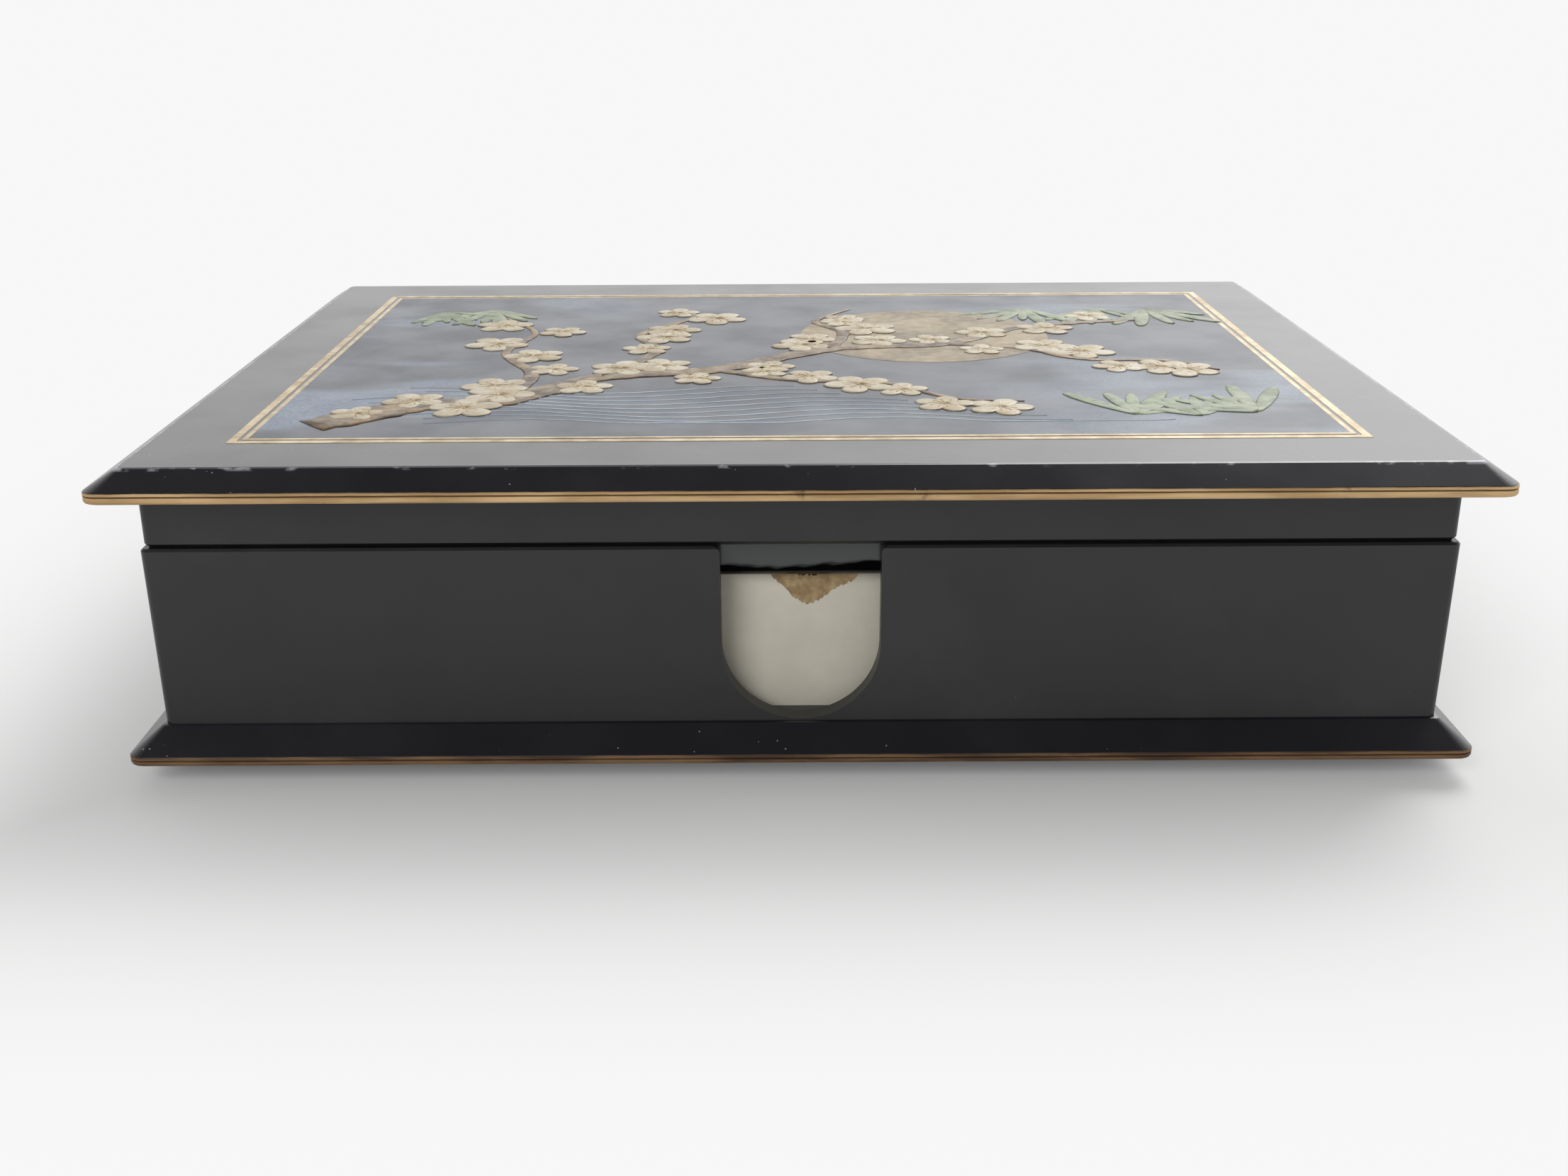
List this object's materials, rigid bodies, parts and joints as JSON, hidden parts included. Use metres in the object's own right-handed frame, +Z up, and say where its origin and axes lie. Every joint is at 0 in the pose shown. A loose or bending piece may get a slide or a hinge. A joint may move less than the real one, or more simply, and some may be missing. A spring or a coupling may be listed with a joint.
{
  "type": "lacquer note box",
  "caption": "Low black lacquered box with bevelled lid and base, a finger notch in its front wall, a lift-off lid and a pad of note paper inside.",
  "frame": {"origin": "middle of the footprint, on the surface that the feet stand on", "axes": "+Z up, -Y towards the notched front, +X to the right of someone facing the front"},
  "size_m": [0.1996, 0.1488, 0.0481],
  "materials": {
    "black_lacquer": "satin black lacquer",
    "dark_felt": "felt",
    "note_paper": "matt paper",
    "grey_board": "matt board"
  },
  "bodies": {
    "box": {"base_panel": "black_lacquer", "wall_frame": "black_lacquer", "foot_front_left": "dark_felt", "foot_front_right": "dark_felt", "foot_back_left": "dark_felt", "foot_back_right": "dark_felt"},
    "lid": {"lid_panel": "black_lacquer", "lid_collar": "black_lacquer", "lid_inner_rim": "black_lacquer"},
    "note_pad": {"pad_backing_board": "grey_board", "pad_sheets": "note_paper", "pad_binding_strip": "note_paper"}
  },
  "joints": [
    {"name": "lid_lift", "type": "slide", "parent": "box", "child": "lid", "axis": [0, 0, 1], "range_m": [0, 0.1]},
    {"name": "pad_lift", "type": "slide", "parent": "box", "child": "note_pad", "axis": [0, 0, 1], "range_m": [0, 0.04]}
  ],
  "couplings": [
    {"joint": "pad_lift", "follows": "lid_lift", "ratio": 0.4}
  ]
}
